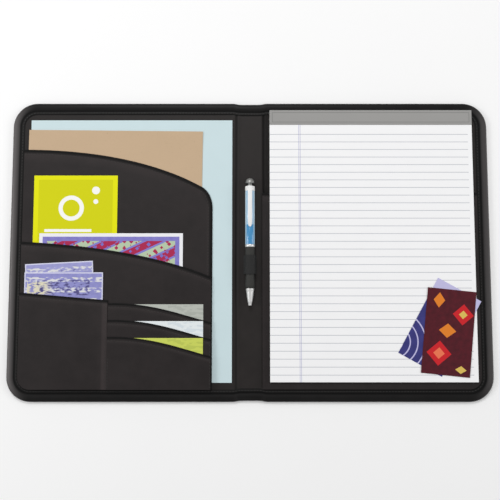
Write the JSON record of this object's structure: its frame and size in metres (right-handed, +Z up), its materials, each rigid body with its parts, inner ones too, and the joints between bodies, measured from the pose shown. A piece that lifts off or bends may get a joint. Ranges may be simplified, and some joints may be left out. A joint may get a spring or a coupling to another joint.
{
  "type": "padfolio",
  "caption": "Zipless leatherette padfolio lying open: padded covers on a soft spine, pockets with papers and cards, a writing pad in its pocket and a click pen in a loop.",
  "frame": {"origin": "middle of the spine at mid height, on the surface that the open padfolio lies on", "axes": "+X across the open covers towards the back cover and its pad, +Y to the head of the page, +Z up out of the open inside"},
  "size_m": [0.51, 0.318, 0.0172],
  "materials": {
    "cover_leather": "satin",
    "trim_leather": "satin",
    "pocket_leather": "satin",
    "lining": "matte",
    "foam": "matte",
    "cover_board": "matte",
    "elastic": "matte",
    "blue_paper": "matte",
    "kraft_paper": "matte",
    "lime_card": "satin",
    "photo_paper": "gloss",
    "lilac_card": "satin",
    "grey_card": "satin",
    "white_card": "satin",
    "pale_lime_card": "satin",
    "backing_card": "matte",
    "ruled_paper": "matte",
    "header_paper": "satin",
    "navy_card": "gloss",
    "maroon_card": "gloss",
    "pen_blue": "gloss",
    "pen_white": "gloss",
    "pen_rubber": "matte",
    "pen_silver": "satin",
    "refill_tube": "satin"
  },
  "bodies": {
    "back_cover": {"back_leather": "cover_leather", "back_foam": "foam", "back_board": "cover_board", "back_lining": "lining", "back_binding": "trim_leather", "pad_pocket": "pocket_leather"},
    "spine": {"spine_leather": "cover_leather", "spine_foam": "foam", "spine_stiffener": "cover_board", "spine_lining": "lining", "spine_head_binding": "trim_leather", "spine_foot_binding": "trim_leather", "pen_loop": "elastic"},
    "front_cover": {"front_spine_side_panel": "cover_leather", "front_centre_panel": "cover_leather", "front_edge_panel": "cover_leather", "outside_pocket": "cover_leather", "spine_side_welt": "trim_leather", "fore_edge_welt": "trim_leather", "front_foam": "foam", "front_board": "cover_board", "front_lining": "lining", "front_binding": "trim_leather", "document_pocket": "pocket_leather", "photo_pocket": "pocket_leather", "ticket_pocket": "pocket_leather", "card_slot_upper": "pocket_leather", "card_slot_middle": "pocket_leather", "card_slot_lower": "pocket_leather"},
    "pad": {"pad_backing": "backing_card", "pad_sheets": "ruled_paper", "pad_header": "header_paper"},
    "page": {"top_sheet": "ruled_paper"},
    "loose_rear": {"loose_card_rear": "navy_card"},
    "loose_front": {"loose_card_front": "maroon_card"},
    "pen": {"pen_barrel": "pen_blue", "pen_grip": "pen_rubber", "pen_tip": "pen_silver", "pen_clip": "pen_white"},
    "refill": {"pen_refill": "refill_tube", "pen_button": "pen_silver"},
    "letter": {"letter_paper": "blue_paper"},
    "kraft": {"kraft_sheet": "kraft_paper"},
    "note": {"note_card": "lime_card"},
    "photo": {"photo_print": "photo_paper"},
    "ticket_behind": {"rear_ticket": "lilac_card"},
    "ticket_ahead": {"front_ticket": "lilac_card"},
    "card_upper": {"slot_card_upper": "grey_card"},
    "card_middle": {"slot_card_middle": "white_card"},
    "card_lower": {"slot_card_lower": "pale_lime_card"}
  },
  "joints": [
    {"name": "spine_fold", "type": "hinge", "parent": "back_cover", "child": "spine", "pos_m": [0.01, 0, 0.0044], "axis": [0, 1, 0], "range_deg": [0, 90]},
    {"name": "cover_fold", "type": "hinge", "parent": "spine", "child": "front_cover", "pos_m": [-0.01, 0, 0.0044], "axis": [0, 1, 0], "range_deg": [0, 90]},
    {"name": "pad_slide", "type": "slide", "parent": "back_cover", "child": "pad", "axis": [0, 1, 0], "range_m": [0, 0.21]},
    {"name": "page_turn", "type": "hinge", "parent": "pad", "child": "page", "pos_m": [0.129, 0.1339, 0.01065], "axis": [-1, 0, 0], "range_deg": [0, 180]},
    {"name": "loose_rear_slide", "type": "slide", "parent": "page", "child": "loose_rear", "axis": [1, 0, 0], "range_m": [0, 0.1]},
    {"name": "loose_front_slide", "type": "slide", "parent": "page", "child": "loose_front", "axis": [1, 0, 0], "range_m": [0, 0.08]},
    {"name": "pen_slide", "type": "slide", "parent": "spine", "child": "pen", "axis": [0, 1, 0], "range_m": [0, 0.075]},
    {"name": "pen_click", "type": "slide", "parent": "pen", "child": "refill", "axis": [0, -1, 0], "range_m": [0, 0.003], "stiffness_N_per_m": 300, "springref_m": -0.002},
    {"name": "letter_slide", "type": "slide", "parent": "front_cover", "child": "letter", "axis": [0, 1, 0], "range_m": [0, 0.25]},
    {"name": "kraft_slide", "type": "slide", "parent": "front_cover", "child": "kraft", "axis": [0, 1, 0], "range_m": [0, 0.23]},
    {"name": "note_slide", "type": "slide", "parent": "front_cover", "child": "note", "axis": [0, 1, 0], "range_m": [0, 0.055]},
    {"name": "photo_slide", "type": "slide", "parent": "front_cover", "child": "photo", "axis": [0, 1, 0], "range_m": [0, 0.09]},
    {"name": "rear_ticket_slide", "type": "slide", "parent": "front_cover", "child": "ticket_behind", "axis": [0, 1, 0], "range_m": [0, 0.03]},
    {"name": "front_ticket_slide", "type": "slide", "parent": "front_cover", "child": "ticket_ahead", "axis": [0, 1, 0], "range_m": [0, 0.035]},
    {"name": "upper_card_slide", "type": "slide", "parent": "front_cover", "child": "card_upper", "axis": [0, 1, 0], "range_m": [0, 0.052]},
    {"name": "middle_card_slide", "type": "slide", "parent": "front_cover", "child": "card_middle", "axis": [0, 1, 0], "range_m": [0, 0.052]},
    {"name": "lower_card_slide", "type": "slide", "parent": "front_cover", "child": "card_lower", "axis": [0, 1, 0], "range_m": [0, 0.052]}
  ],
  "couplings": [
    {"joint": "cover_fold", "follows": "spine_fold", "ratio": 1}
  ]
}
